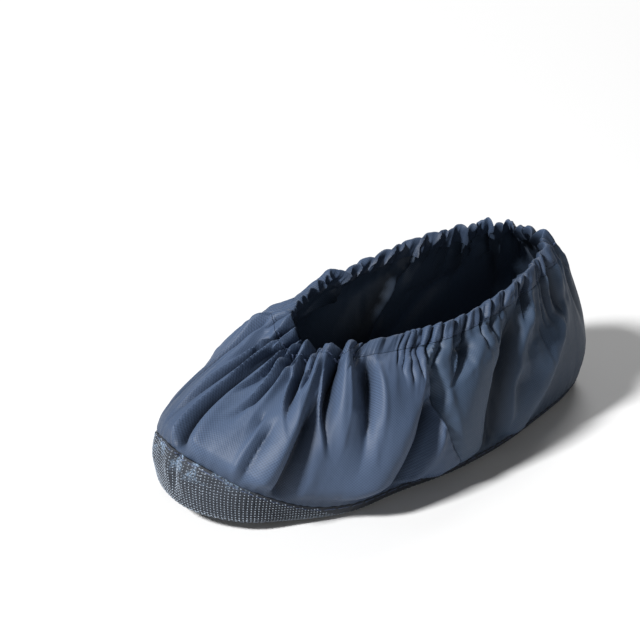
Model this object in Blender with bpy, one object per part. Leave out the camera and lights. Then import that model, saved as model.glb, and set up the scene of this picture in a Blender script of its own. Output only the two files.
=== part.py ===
"""Reusable cloth overshoe in its worn form: a left one, with a gathered elastic opening.

Metres, +Z up. The toe points along -Y, the outer side of the foot is +X, and the
flat tread stands on Z = 0 with the origin under the middle of the whole piece.

Places on the overshoe are given by two shares. "around" runs from 0 at the heel
along the outer side to 0.5 at the toe tip, and back along the inner side to 1.
"height" runs from 0 at the foot of the wall to 1 at the edge of the opening.
"""
import bmesh
import bpy
import numpy as np
from mathutils import Matrix

# Tread: the stretch of sole that touches the ground, and its lift at the toe.
TREAD_LENGTH = 0.300
TREAD_WIDTH = 0.110
TOE_SPRING = 0.0078
EDGE_RADIUS = 0.007
SOLE_CLOTH = 0.0020

# How far the sole's cloth climbs the wall, at the sides and in addition at the toe.
SIDE_RIM = 0.002
TOE_RIM = 0.028

# Wall of the upper: its cloth, how far it bulges, and how high its shoulders stand.
UPPER_CLOTH = 0.0014
WALL_BULGE = 0.0121
SIDE_SHOULDER = 0.0285
TOE_SHOULDER = 0.0521
LEAST_PULL = 0.010

# Opening, set back from the heel end of the tread, and the elastic casing round it.
OPENING_LENGTH = 0.185
OPENING_WIDTH = 0.096
OPENING_SET_BACK = 0.030
OPENING_RISE = 0.107
OPENING_SKEW = 0.0034
CASING_HEIGHT = 0.012
CASING_DEPTH = 0.0036

# Relief of the cloth, and the clearance between neighbouring pieces.
FOLD_DEPTH = 0.008
GATHER_DEPTH = 0.0022
GATHERS = 48
SEAM_GAP = 0.0003

# Shares that set how the forms above run.
SPRING_START = 0.72
OUTER_FULLNESS = 0.74
TOE_PULL = 0.474
SIDE_PULL = 0.90
TOE_DROP = 0.541
SIDE_DROP = 0.2675
RIM_CENTRE = 0.515
RIM_SPREAD = 0.085
RIM_SHAPE = 2.5
SEAM_FOOT = 0.260
SEAM_LEAN = 0.085
SEAM_BEND = 0.018
RIM_FADE = 0.10
LOWER_FADE = 0.40
UPPER_FADE = 0.30
CASING_CALM = 0.5
CALM_START = 0.8
GATHER_REACH = 0.10
GATHER_MEAN = 0.6
INNER_SIDE_RELIEF = 0.9
MIRRORED_BELOW = 0.40
FOLD_TAPER = 1.5
SPINE_MARGIN = 0.16

# Fineness of the meshes.
FRONT_COLUMNS = 72
HEEL_COLUMNS = 64
FRONT_ROWS = 14
HEEL_ROWS = 12
SOLE_COLUMNS = 72
STATIONS_PER_ROW = 16
SECTION_STEPS = 20
OUTLINE_PROBE = 0.004
NORMAL_PROBE = 0.002
WELD = 0.00001
SEAM_ROUNDS = 4

# Tread outline, heel to toe on the outer side and back on the inner side:
# station as a share of the tread's length from the heel, side as a share of its width.
TREAD_ROWS = (
    (0.000, 0.000),
    (0.030, 0.215),
    (0.105, 0.328),
    (0.220, 0.415),
    (0.360, 0.497),
    (0.500, 0.526),
    (0.640, 0.493),
    (0.760, 0.476),
    (0.870, 0.362),
    (0.955, 0.243),
    (1.000, 0.002),
    (0.965, -0.308),
    (0.880, -0.435),
    (0.760, -0.490),
    (0.640, -0.470),
    (0.500, -0.395),
    (0.360, -0.355),
    (0.220, -0.355),
    (0.105, -0.325),
    (0.030, -0.195),
)
TOE_ROW = 10

# Edge of the opening, from its front (0) to its back (1): height as a share of its rise.
OPENING_ROWS = (
    (0.00, 0.767),
    (0.15, 0.843),
    (0.30, 0.866),
    (0.45, 0.866),
    (0.60, 0.922),
    (0.80, 0.982),
    (1.00, 1.000),
)

# Folds of the cloth. A row gives the fold's place around at its upper end, middle and
# lower end, the heights of both ends, its relief as a share of the fold depth (below 0
# is a valley), and its half breadth as a share of the way around.
FOLDS = (
    # over the toe
    (0.590, 0.566, 0.552, 1.00, 0.32, -0.60, 0.010),
    (0.577, 0.568, 0.556, 1.00, 0.25, 0.50, 0.010),
    (0.560, 0.546, 0.540, 1.00, 0.16, -1.10, 0.009),
    (0.545, 0.532, 0.525, 1.00, 0.15, 0.60, 0.009),
    (0.530, 0.515, 0.510, 1.00, 0.14, -1.20, 0.008),
    (0.503, 0.502, 0.493, 1.00, 0.20, 0.60, 0.016),
    (0.492, 0.479, 0.482, 1.00, 0.40, -0.80, 0.012),
    (0.482, 0.463, 0.466, 1.00, 0.45, 0.35, 0.009),
    (0.466, 0.450, 0.438, 1.00, 0.32, -1.30, 0.009),
    (0.452, 0.436, 0.437, 1.00, 0.10, 0.70, 0.010),
    (0.444, 0.450, 0.458, 0.50, 0.06, -0.50, 0.011),
    (0.424, 0.428, 0.432, 0.40, 0.06, -0.45, 0.010),
    # outer side of the toes and ball
    (0.432, 0.408, 0.388, 1.00, 0.24, -1.30, 0.010),
    (0.417, 0.385, 0.392, 1.00, 0.20, 0.50, 0.010),
    (0.400, 0.366, 0.364, 0.97, 0.22, -1.00, 0.010),
    (0.385, 0.345, 0.358, 0.92, 0.05, 0.50, 0.022),
    # round the side seam
    (0.302, 0.314, 0.338, 0.60, 0.02, -0.75, 0.018),
    (0.322, 0.303, 0.264, 0.95, 0.00, -0.35, 0.008),
    (0.292, 0.287, 0.288, 0.90, 0.56, 0.60, 0.013),
    (0.262, 0.268, 0.282, 0.86, 0.56, -0.70, 0.009),
    (0.275, 0.262, 0.245, 0.85, 0.08, 0.30, 0.026),
    # side and heel
    (0.238, 0.238, 0.232, 0.85, 0.00, -0.90, 0.018),
    (0.204, 0.198, 0.204, 0.85, 0.05, -0.40, 0.020),
    (0.172, 0.172, 0.173, 0.97, 0.64, -0.70, 0.009),
    (0.160, 0.163, 0.166, 0.78, 0.48, 0.45, 0.011),
    (0.085, 0.148, 0.196, 0.62, 0.03, 0.50, 0.022),
    (0.105, 0.100, 0.095, 1.00, 0.40, -0.70, 0.012),
    (0.062, 0.055, 0.048, 1.00, 0.30, -0.60, 0.012),
    (0.018, 0.012, 0.010, 1.00, 0.35, -0.60, 0.011),
)

# Section of the casing from its lower edge up: share of its height, and the places of
# its outer and inner face inwards of the upper's skin as shares of its depth.
CASING_ROWS = (
    (0.00, 0.00, 1.00),
    (0.35, -0.16, 1.05),
    (0.75, -0.10, 1.05),
    (1.00, 0.30, 0.80),
)

# Rows of the sole's grid: share of the way from the middle of the tread to its
# outline, turn round the edge, and share of the rim climbed.
SOLE_ROWS = (
    (0.00, 0.0, 0.0),
    (0.55, 0.0, 0.0),
    (1.00, 0.0, 0.0),
    (1.00, 0.5, 0.0),
    (1.00, 1.0, 0.0),
    (1.00, 1.0, 0.5),
    (1.00, 1.0, 1.0),
)

# Colour and roughness of each piece.
CLOTH_LOOKS = {
    "sole": ((0.045, 0.052, 0.068), 0.75),
    "front_upper": ((0.060, 0.085, 0.140), 0.50),
    "heel_upper": ((0.050, 0.072, 0.118), 0.50),
    "elastic_collar": ((0.052, 0.072, 0.120), 0.55),
}


def smooth_step(value):
    """0 below 0, 1 above 1, with a smooth way between."""
    share = np.clip(value, 0.0, 1.0)
    return share * share * (3.0 - 2.0 * share)


def table_curve(rows, at):
    """Smooth curve through a table's (station, value) rows, level at both ends."""
    stations = np.array([row[0] for row in rows])
    values = np.array([row[1] for row in rows])
    slopes = np.zeros(len(rows))
    slopes[1:-1] = (values[2:] - values[:-2]) / (stations[2:] - stations[:-2])
    span = np.clip(np.searchsorted(stations, at, side="right") - 1, 0, len(rows) - 2)
    width = stations[span + 1] - stations[span]
    t = np.clip((at - stations[span]) / width, 0.0, 1.0)
    ease = t * t * (3 - 2 * t)
    level = values[span] * (1 - ease) + values[span + 1] * ease
    lean = slopes[span] * (t**3 - 2 * t**2 + t) + slopes[span + 1] * (t**3 - t**2)
    return level + lean * width


def tread_halves():
    """The closed tread outline as two dense runs: outer side to the toe, inner side back."""
    rows = np.array(TREAD_ROWS)
    points = np.stack([rows[:, 1] * TREAD_WIDTH, (0.5 - rows[:, 0]) * TREAD_LENGTH], axis=-1)
    before, after, beyond = (np.roll(points, shift, axis=0) for shift in (1, -1, -2))
    t = (np.arange(STATIONS_PER_ROW) / STATIONS_PER_ROW)[None, :, None]
    p0, p1, p2, p3 = (group[:, None, :] for group in (before, points, after, beyond))
    square = 2 * p0 - 5 * p1 + 4 * p2 - p3
    cube = 3 * p1 - p0 - 3 * p2 + p3
    curve = (p1 + ((p2 - p0) * t + square * t**2 + cube * t**3) / 2).reshape(-1, 2)
    toe = TOE_ROW * STATIONS_PER_ROW
    return curve[: toe + 1], np.vstack([curve[toe:], curve[:1]])


def tread_point(around):
    """Outline point of the flat tread, spaced evenly along each side."""
    around = np.mod(around, 1.0)
    point = np.zeros(around.shape + (2,))
    for half, run in enumerate(tread_halves()):
        along = np.concatenate([[0.0], np.cumsum(np.linalg.norm(np.diff(run, axis=0), axis=1))])
        here = (around >= 0.5) == bool(half)
        distance = (around[here] - 0.5 * half) * 2.0 * along[-1]
        for axis in range(2):
            point[here, axis] = np.interp(distance, along, run[:, axis])
    return point


def tread_normal(around):
    """Outward direction of the tread outline, level with the ground."""
    ahead = tread_point(around + OUTLINE_PROBE) - tread_point(around - OUTLINE_PROBE)
    normal = np.stack([-ahead[..., 1], ahead[..., 0], np.zeros(around.shape)], axis=-1)
    return normal / np.linalg.norm(normal, axis=-1, keepdims=True)


def spring(y):
    """Lift of the tread over the ground: none up to the ball, then curving up to the toe."""
    station = 0.5 - y / TREAD_LENGTH
    return TOE_SPRING * np.clip((station - SPRING_START) / (1.0 - SPRING_START), 0.0, 1.0) ** 2


def toe_share(around):
    """1 at the toe tip, falling to 0 at the heel."""
    return ((1.0 - np.cos(2 * np.pi * around)) / 2.0) ** 2


def opening_point(around):
    """Edge of the opening."""
    angle = 2 * np.pi * around
    sine = np.sin(angle)
    front = (1.0 - np.cos(angle)) / 2.0
    fullness = np.where(sine >= 0.0, OUTER_FULLNESS, 1.0)
    x = OPENING_WIDTH / 2 * np.sign(sine) * np.abs(sine) ** fullness + OPENING_SKEW * front**3
    y = TREAD_LENGTH / 2 - OPENING_SET_BACK - OPENING_LENGTH * front
    z = OPENING_RISE * table_curve(OPENING_ROWS, 2 * np.abs(np.mod(around, 1.0) - 0.5))
    return np.stack([x, y, z], axis=-1)


def section_controls(around):
    """The four control points of the wall's cubic section, foot to opening."""
    toe = toe_share(around)[..., None]
    outward = tread_normal(around)
    up = np.array([0.0, 0.0, 1.0])
    foot = edge_point(around, 1.0)
    lower = foot + outward * WALL_BULGE + up * shoulder_height(around)[..., None]
    top = opening_point(around)
    inward = (top - foot) * (1.0, 1.0, 0.0)
    reach = np.linalg.norm(inward, axis=-1, keepdims=True)
    pull = TOE_PULL * reach * toe + np.maximum(SIDE_PULL * reach, LEAST_PULL) * (1 - toe)
    drop = TOE_DROP * pull * toe + SIDE_DROP * top[..., 2:] * (1 - toe)
    upper = top - inward / reach * pull - up * drop
    return foot, lower, upper, top


def shoulder_height(around):
    """Height over the foot of the wall at which its bulge is set."""
    toe = toe_share(around)
    return SIDE_SHOULDER * (1 - toe) + TOE_SHOULDER * toe


def edge_angle(around):
    """Angle that the round edge turns through, from the ground to the wall."""
    return np.arctan2(shoulder_height(around), WALL_BULGE)


def edge_point(around, turn):
    """Round edge between the tread (turn 0) and the wall (turn 1)."""
    tread = tread_point(around)
    angle = edge_angle(around) * turn
    point = np.concatenate([tread, spring(tread[..., 1])[..., None]], axis=-1)
    point = point + tread_normal(around) * (EDGE_RADIUS * np.sin(angle))[..., None]
    point[..., 2] += EDGE_RADIUS * (1.0 - np.cos(angle))
    return point


def cubic(controls, t):
    """Point at t on a cubic with the given four control points."""
    foot, lower, upper, top = controls
    t = t[..., None]
    low = (1 - t) ** 3 * foot + 3 * (1 - t) ** 2 * t * lower
    return low + 3 * (1 - t) * t**2 * upper + t**3 * top


def wall_lengths(controls):
    """Running length along each section, a row for each step up it."""
    steps = np.linspace(0.0, 1.0, SECTION_STEPS + 1)
    points = np.stack([cubic(controls, np.full(controls[0].shape[:-1], step)) for step in steps])
    runs = np.linalg.norm(np.diff(points, axis=0), axis=-1)
    return np.concatenate([np.zeros((1,) + runs.shape[1:]), np.cumsum(runs, axis=0)])


def wall_point(around, height):
    """Smooth wall, without folds, at even spacing from its foot to the opening."""
    controls = section_controls(around)
    lengths = wall_lengths(controls)
    goal = lengths[-1] * height
    step = np.clip((lengths <= goal).sum(axis=0) - 1, 0, SECTION_STEPS - 1)[None]
    below = np.take_along_axis(lengths, step, axis=0)[0]
    above = np.take_along_axis(lengths, step + 1, axis=0)[0]
    t = (step[0] + (goal - below) / (above - below)) / SECTION_STEPS
    return cubic(controls, t)


def wall_normal(around, height):
    """Outward direction of the smooth wall."""
    below = np.clip(height - NORMAL_PROBE, 0.0, 1.0)
    above = np.clip(height + NORMAL_PROBE, 0.0, 1.0)
    across = wall_point(around + NORMAL_PROBE, height) - wall_point(around - NORMAL_PROBE, height)
    up = wall_point(around, above) - wall_point(around, below)
    normal = np.cross(up, across)
    return normal / np.linalg.norm(normal, axis=-1, keepdims=True)


def rim_length(around):
    """Length of wall that the sole's cloth climbs."""
    beside = np.abs(np.mod(around, 1.0) - RIM_CENTRE) / RIM_SPREAD
    return SIDE_RIM + TOE_RIM * np.exp(-(beside**RIM_SHAPE))


def inner_side_folds():
    """The side and heel folds again on the inner side, a little shallower."""
    rows = []
    for upper, middle, lower, start, end, depth, breadth in FOLDS:
        if middle < MIRRORED_BELOW:
            places = (1.0 - upper, 1.0 - middle, 1.0 - lower)
            rows.append((*places, start, end, depth * INNER_SIDE_RELIEF, breadth))
    return tuple(rows)


def fold_relief(around, height):
    """Sum of all folds, as a share of the fold depth."""
    relief = np.zeros(np.broadcast(around, height).shape)
    for upper, middle, lower, start, end, depth, breadth in FOLDS + inner_side_folds():
        t = np.clip((start - height) / (start - end), 0.0, 1.0)
        line = upper + (4 * middle - 3 * upper - lower) * t + 2 * (upper + lower - 2 * middle) * t**2
        aside = np.abs(np.mod(around - line + 0.5, 1.0) - 0.5) / breadth
        ends = smooth_step((height - end) / (LOWER_FADE * (start - end)))
        if start < 1.0:
            ends = ends * smooth_step((start - height) / (UPPER_FADE * (start - end)))
        relief += depth * ends / (1.0 + aside**2) ** FOLD_TAPER
    return relief


def cloth_point(around, height):
    """Outer skin of the cloth, with its folds and, near the opening, its gathers."""
    length = wall_lengths(section_controls(around))[-1]
    rim = rim_length(around) / length
    calm = 1.0 - CASING_CALM * smooth_step((height - CALM_START) / (1.0 - CALM_START))
    folds = FOLD_DEPTH * fold_relief(around, height) * calm
    wave = np.abs(np.sin(np.pi * GATHERS * around)) - GATHER_MEAN
    gathers = GATHER_DEPTH * wave * smooth_step((height - 1.0 + 2 * GATHER_REACH) / GATHER_REACH)
    relief = (folds + gathers) * smooth_step((height - rim) / RIM_FADE)
    return wall_point(around, height) + wall_normal(around, height) * relief[..., None]


def height_between_pieces(around, share):
    """Height at a share of the way from the sole's rim to the casing."""
    length = wall_lengths(section_controls(around))[-1]
    low = (rim_length(around) + SEAM_GAP) / length
    high = 1.0 - (CASING_HEIGHT + SEAM_GAP) / length
    return low + (high - low) * share


def side_seam(share, side):
    """Place around of the side seam: side 0 is the outer seam, side 1 the inner one."""
    height = share
    for _ in range(SEAM_ROUNDS):
        seam = SEAM_FOOT + SEAM_LEAN * height - SEAM_BEND * height**2
        around = np.abs(side - seam)
        height = height_between_pieces(around, share)
    return around


def seam_clearance():
    """Half of the gap at a side seam, as a share of the way around both sides."""
    return SEAM_GAP / 2 / (2 * TREAD_LENGTH)


def upper_point(share, across, start, end, depth):
    """Point of an upper piece that spans from one seam to the other."""
    around = start + (end - start) * across
    height = height_between_pieces(around, share)
    inwards = wall_normal(around, height) * (UPPER_CLOTH * depth)[..., None]
    return cloth_point(around, height) - inwards


def front_point(share, across, depth):
    """Front upper: from the outer seam over the toe to the inner seam."""
    start = side_seam(share, 0) + seam_clearance()
    end = side_seam(share, 1) - seam_clearance()
    return upper_point(share, across, start, end, depth)


def heel_point(share, across, depth):
    """Heel upper: from the inner seam round the heel to the outer seam."""
    start = side_seam(share, 1) + seam_clearance() - 1.0
    end = side_seam(share, 0) - seam_clearance()
    return upper_point(share, across, start, end, depth)


def sole_point(share, around, depth):
    """Sole: out from the middle of the tread, round the edge and up to the rim."""
    row = np.rint(share * (len(SOLE_ROWS) - 1)).astype(int)
    out, turn, climb = (np.array(column)[row] for column in zip(*SOLE_ROWS))
    outline = tread_point(around)
    spine = np.zeros(outline.shape)
    end = TREAD_LENGTH * (0.5 - SPINE_MARGIN)
    middle = (outline[..., 1] + tread_point(1.0 - around)[..., 1]) / 2
    spine[..., 1] = np.clip(middle, -end, end)
    flat = spine + (outline - spine) * out[..., None]
    tread = np.concatenate([flat, spring(flat[..., 1])[..., None]], axis=-1)
    edge = edge_point(around, turn) - edge_point(around, np.zeros(around.shape))
    rim = climb * rim_length(around) / wall_lengths(section_controls(around))[-1]
    climbs = (climb > 0.0)[..., None]
    angle = edge_angle(around) * turn
    down = np.array([0.0, 0.0, -1.0]) * np.cos(angle)[..., None]
    turned = tread_normal(around) * np.sin(angle)[..., None] + down
    normal = np.where(climbs, wall_normal(around, rim), turned)
    point = np.where(climbs, wall_point(around, rim), tread + edge)
    return point - normal * (SOLE_CLOTH * depth)[..., None]


def casing_point(share, around, depth):
    """Elastic casing: a flat tube of gathered cloth along the edge of the opening."""
    row = np.rint(share * (len(CASING_ROWS) - 1)).astype(int)
    up, outer, inner = (np.array(column)[row] for column in zip(*CASING_ROWS))
    length = wall_lengths(section_controls(around))[-1]
    height = 1.0 - CASING_HEIGHT * (1.0 - up) / length
    inwards = CASING_DEPTH * (outer + (inner - outer) * depth)
    return cloth_point(around, height) - wall_normal(around, height) * inwards[..., None]


def add_material(item):
    """Give a piece its own plain material."""
    colour, roughness = CLOTH_LOOKS[item.name]
    material = bpy.data.materials.new(item.name)
    material.use_nodes = True
    shader = material.node_tree.nodes["Principled BSDF"]
    shader.inputs["Base Color"].default_value = (*colour, 1.0)
    shader.inputs["Roughness"].default_value = roughness
    shader.inputs["Metallic"].default_value = 0.0
    item.data.materials.append(material)


def add_piece(name, rows, columns, place, joined=()):
    """A block of one cell's depth, laid out by place(share up, share across, depth).

    Where two sides of the piece meet, "joined" names the block's sides that are left
    open and welded, by the direction in which they face.
    """
    shape = bmesh.new()
    bmesh.ops.create_grid(shape, x_segments=rows, y_segments=columns, size=0.5)
    inner = bmesh.ops.extrude_face_region(shape, geom=shape.faces[:], use_keep_orig=True)
    lowered = [part for part in inner["geom"] if isinstance(part, bmesh.types.BMVert)]
    bmesh.ops.translate(shape, verts=lowered, vec=(0.0, 0.0, -1.0))
    bmesh.ops.recalc_face_normals(shape, faces=shape.faces[:])
    sides = [face for face in shape.faces if any(face.normal.dot(way) > 0.5 for way in joined)]
    bmesh.ops.delete(shape, geom=sides, context="FACES_ONLY")
    shares = np.array([vertex.co for vertex in shape.verts]) + (0.5, 0.5, 0.0)
    for vertex, point in zip(shape.verts, place(shares[:, 0], shares[:, 1], -shares[:, 2])):
        vertex.co = point
    bmesh.ops.remove_doubles(shape, verts=shape.verts, dist=WELD)
    mesh = bpy.data.meshes.new(name)
    shape.to_mesh(mesh)
    shape.free()
    mesh.shade_smooth()
    item = bpy.data.objects.new(name, mesh)
    bpy.context.collection.objects.link(item)
    add_material(item)
    return item


def stand_on_origin(items):
    """Put the origin under the middle of the whole piece."""
    corners = np.array([vertex.co for item in items for vertex in item.data.vertices])
    low = corners.min(axis=0)
    high = corners.max(axis=0)
    middle = (low + high) / 2
    for item in items:
        item.data.transform(Matrix.Translation((-middle[0], -middle[1], -low[2])))


def build():
    """Make the four pieces of the overshoe."""
    for old in list(bpy.data.objects):
        bpy.data.objects.remove(old)
    ring = [(0, -1, 0), (0, 1, 0)]
    sole = add_piece("sole", len(SOLE_ROWS) - 1, SOLE_COLUMNS, sole_point, [*ring, (-1, 0, 0)])
    front = add_piece("front_upper", FRONT_ROWS, FRONT_COLUMNS, front_point)
    heel = add_piece("heel_upper", HEEL_ROWS, HEEL_COLUMNS, heel_point)
    casing = add_piece("elastic_collar", len(CASING_ROWS) - 1, 3 * GATHERS, casing_point, ring)
    stand_on_origin([sole, front, heel, casing])


build()
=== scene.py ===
# %% [markdown]
# # A reusable cloth overshoe
#
# An overshoe is a thin nylon bag with a tougher, dotted sole and an elastic opening. People
# draw it over their shoes to keep a floor clean. This one stands as it does when worn, with
# long folds that run from the gathered opening down to the seam of the sole.
#
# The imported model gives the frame: where the pieces are, and how large. The cells below make
# a finer version of each cloth piece in the same place, then give it its weave and its light.

import bmesh
import bpy
import numpy as np
from mathutils import Matrix, Vector


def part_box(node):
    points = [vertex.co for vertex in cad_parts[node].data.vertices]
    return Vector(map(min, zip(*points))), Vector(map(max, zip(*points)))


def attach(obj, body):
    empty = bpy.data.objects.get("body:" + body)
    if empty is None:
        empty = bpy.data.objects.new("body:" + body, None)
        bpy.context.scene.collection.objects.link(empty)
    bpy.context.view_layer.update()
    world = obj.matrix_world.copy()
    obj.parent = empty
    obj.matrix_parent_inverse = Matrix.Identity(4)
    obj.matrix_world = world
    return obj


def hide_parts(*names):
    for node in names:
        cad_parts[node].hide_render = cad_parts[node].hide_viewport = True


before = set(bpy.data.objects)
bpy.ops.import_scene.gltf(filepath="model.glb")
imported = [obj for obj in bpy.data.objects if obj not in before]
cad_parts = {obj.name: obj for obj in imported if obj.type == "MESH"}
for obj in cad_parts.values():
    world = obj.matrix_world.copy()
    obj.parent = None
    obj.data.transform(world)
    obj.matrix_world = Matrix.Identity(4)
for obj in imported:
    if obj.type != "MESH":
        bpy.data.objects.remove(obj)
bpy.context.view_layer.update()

MM = 0.001
UP = np.array([0.0, 0.0, 1.0])
print("frame nodes:", sorted(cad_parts))

# %% [markdown]
# ## The shape under the folds
#
# The cloth hangs round a foot, so it starts as a smooth foot-like form. Every place on it has
# two shares. "around" runs from 0 at the heel along the outer side to 0.5 at the toe tip, and
# back along the inner side to 1. "height" runs from 0 at the foot of the wall to 1 at the
# edge of the opening. The sizes are the same as in the part's construction.

# %% Tread outline
TREAD_LENGTH = 0.300
TREAD_WIDTH = 0.110
TOE_SPRING = 0.0078
SPRING_START = 0.72
OUTLINE_PROBE = 0.004
STATIONS_PER_ROW = 24

# Station as a share of the length from the heel, side as a share of the width.
TREAD_ROWS = (
    (0.000, 0.000), (0.030, 0.215), (0.105, 0.328), (0.220, 0.415), (0.360, 0.497),
    (0.500, 0.526), (0.640, 0.493), (0.760, 0.476), (0.870, 0.362), (0.955, 0.243),
    (1.000, 0.002), (0.965, -0.308), (0.880, -0.435), (0.760, -0.490), (0.640, -0.470),
    (0.500, -0.395), (0.360, -0.355), (0.220, -0.355), (0.105, -0.325), (0.030, -0.195),
)
TOE_ROW = 10


def tread_halves():
    """The closed tread outline as two dense runs: outer side to the toe, inner side back."""
    rows = np.array(TREAD_ROWS)
    points = np.stack([rows[:, 1] * TREAD_WIDTH, (0.5 - rows[:, 0]) * TREAD_LENGTH], axis=-1)
    before, after, beyond = (np.roll(points, shift, axis=0) for shift in (1, -1, -2))
    t = (np.arange(STATIONS_PER_ROW) / STATIONS_PER_ROW)[None, :, None]
    p0, p1, p2, p3 = (group[:, None, :] for group in (before, points, after, beyond))
    square = 2 * p0 - 5 * p1 + 4 * p2 - p3
    cube = 3 * p1 - p0 - 3 * p2 + p3
    curve = (p1 + ((p2 - p0) * t + square * t**2 + cube * t**3) / 2).reshape(-1, 2)
    toe = TOE_ROW * STATIONS_PER_ROW
    return curve[: toe + 1], np.vstack([curve[toe:], curve[:1]])


def tread_point(around):
    """Outline point of the flat tread, spaced evenly along each side."""
    around = np.mod(around, 1.0)
    point = np.zeros(around.shape + (2,))
    for half, run in enumerate(tread_halves()):
        along = np.concatenate([[0.0], np.cumsum(np.linalg.norm(np.diff(run, axis=0), axis=1))])
        here = (around >= 0.5) == bool(half)
        distance = (around[here] - 0.5 * half) * 2.0 * along[-1]
        for axis in range(2):
            point[here, axis] = np.interp(distance, along, run[:, axis])
    return point


def tread_normal(around):
    """Outward direction of the tread outline, level with the ground."""
    ahead = tread_point(around + OUTLINE_PROBE) - tread_point(around - OUTLINE_PROBE)
    normal = np.stack([-ahead[..., 1], ahead[..., 0], np.zeros(around.shape)], axis=-1)
    return normal / np.linalg.norm(normal, axis=-1, keepdims=True)


def spring(y):
    """Lift of the tread over the ground: none up to the ball, then curving up to the toe."""
    station = 0.5 - y / TREAD_LENGTH
    return TOE_SPRING * np.clip((station - SPRING_START) / (1.0 - SPRING_START), 0.0, 1.0) ** 2


ring = tread_point(np.linspace(0.0, 1.0, 400))
TREAD_ROUND = float(np.linalg.norm(np.diff(ring, axis=0), axis=1).sum())
print(f"way round the tread: {TREAD_ROUND * 1000:.0f} mm")

# %% [markdown]
# ## Wall and opening
#
# Each section of the wall is one cubic curve: it leaves the rounded edge of the sole, bulges
# outwards, and leans in to the opening. A subdivided cage would do as well, but a curve also
# gives the length up the wall, which seams and folds are measured by.

# %% Wall sections
EDGE_RADIUS = 0.007
WALL_BULGE = 0.0121
SIDE_SHOULDER = 0.0285
TOE_SHOULDER = 0.0521
LEAST_PULL = 0.010
TOE_PULL = 0.474
SIDE_PULL = 0.90
TOE_DROP = 0.541
SIDE_DROP = 0.2675
OPENING_LENGTH = 0.185
OPENING_WIDTH = 0.096
OPENING_SET_BACK = 0.030
OPENING_RISE = 0.107
OPENING_SKEW = 0.0034
OUTER_FULLNESS = 0.74
SECTION_STEPS = 20
NORMAL_PROBE = 0.002

# From the front of the opening (0) to its back (1): height as a share of its rise.
OPENING_ROWS = (
    (0.00, 0.767), (0.15, 0.843), (0.30, 0.866), (0.45, 0.866),
    (0.60, 0.922), (0.80, 0.982), (1.00, 1.000),
)


def smooth_step(value):
    """0 below 0, 1 above 1, with a smooth way between."""
    share = np.clip(value, 0.0, 1.0)
    return share * share * (3.0 - 2.0 * share)


def table_curve(rows, at):
    """Smooth curve through a table's (station, value) rows, level at both ends."""
    stations, values = np.array(rows).T
    slopes = np.zeros(len(rows))
    slopes[1:-1] = (values[2:] - values[:-2]) / (stations[2:] - stations[:-2])
    span = np.clip(np.searchsorted(stations, at, side="right") - 1, 0, len(rows) - 2)
    width = stations[span + 1] - stations[span]
    t = np.clip((at - stations[span]) / width, 0.0, 1.0)
    ease = t * t * (3 - 2 * t)
    level = values[span] * (1 - ease) + values[span + 1] * ease
    lean = slopes[span] * (t**3 - 2 * t**2 + t) + slopes[span + 1] * (t**3 - t**2)
    return level + lean * width


# %% Opening and shoulders
def toe_share(around):
    """1 at the toe tip, falling to 0 at the heel."""
    return ((1.0 - np.cos(2 * np.pi * around)) / 2.0) ** 2


def opening_point(around):
    """Edge of the opening."""
    angle = 2 * np.pi * around
    sine = np.sin(angle)
    front = (1.0 - np.cos(angle)) / 2.0
    fullness = np.where(sine >= 0.0, OUTER_FULLNESS, 1.0)
    x = OPENING_WIDTH / 2 * np.sign(sine) * np.abs(sine) ** fullness + OPENING_SKEW * front**3
    y = TREAD_LENGTH / 2 - OPENING_SET_BACK - OPENING_LENGTH * front
    z = OPENING_RISE * table_curve(OPENING_ROWS, 2 * np.abs(np.mod(around, 1.0) - 0.5))
    return np.stack([x, y, z], axis=-1)


def shoulder_height(around):
    """Height over the foot of the wall at which its bulge is set."""
    toe = toe_share(around)
    return SIDE_SHOULDER * (1 - toe) + TOE_SHOULDER * toe


def edge_angle(around):
    """Angle that the round edge turns through, from the ground to the wall."""
    return np.arctan2(shoulder_height(around), WALL_BULGE)


def edge_point(around, turn):
    """Round edge between the tread (turn 0) and the wall (turn 1)."""
    tread = tread_point(around)
    angle = edge_angle(around) * turn
    point = np.concatenate([tread, spring(tread[..., 1])[..., None]], axis=-1)
    point = point + tread_normal(around) * (EDGE_RADIUS * np.sin(angle))[..., None]
    point[..., 2] += EDGE_RADIUS * (1.0 - np.cos(angle))
    return point


# %% Wall as a cubic curve
def section_controls(around):
    """The four control points of the wall's cubic section, foot to opening."""
    toe = toe_share(around)[..., None]
    foot = edge_point(around, 1.0)
    rise = UP * shoulder_height(around)[..., None]
    lower = foot + tread_normal(around) * WALL_BULGE + rise
    top = opening_point(around)
    inward = (top - foot) * (1.0, 1.0, 0.0)
    reach = np.linalg.norm(inward, axis=-1, keepdims=True)
    pull = TOE_PULL * reach * toe + np.maximum(SIDE_PULL * reach, LEAST_PULL) * (1 - toe)
    drop = TOE_DROP * pull * toe + SIDE_DROP * top[..., 2:] * (1 - toe)
    upper = top - inward / reach * pull - UP * drop
    return foot, lower, upper, top


def cubic(controls, t):
    """Point at t on a cubic with the given four control points."""
    foot, lower, upper, top = controls
    t = t[..., None]
    low = (1 - t) ** 3 * foot + 3 * (1 - t) ** 2 * t * lower
    return low + 3 * (1 - t) * t**2 * upper + t**3 * top


def wall_lengths(controls):
    """Running length along each section, a row for each step up it."""
    steps = np.linspace(0.0, 1.0, SECTION_STEPS + 1)
    points = np.stack([cubic(controls, np.full(controls[0].shape[:-1], step)) for step in steps])
    runs = np.linalg.norm(np.diff(points, axis=0), axis=-1)
    return np.concatenate([np.zeros((1,) + runs.shape[1:]), np.cumsum(runs, axis=0)])


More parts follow.
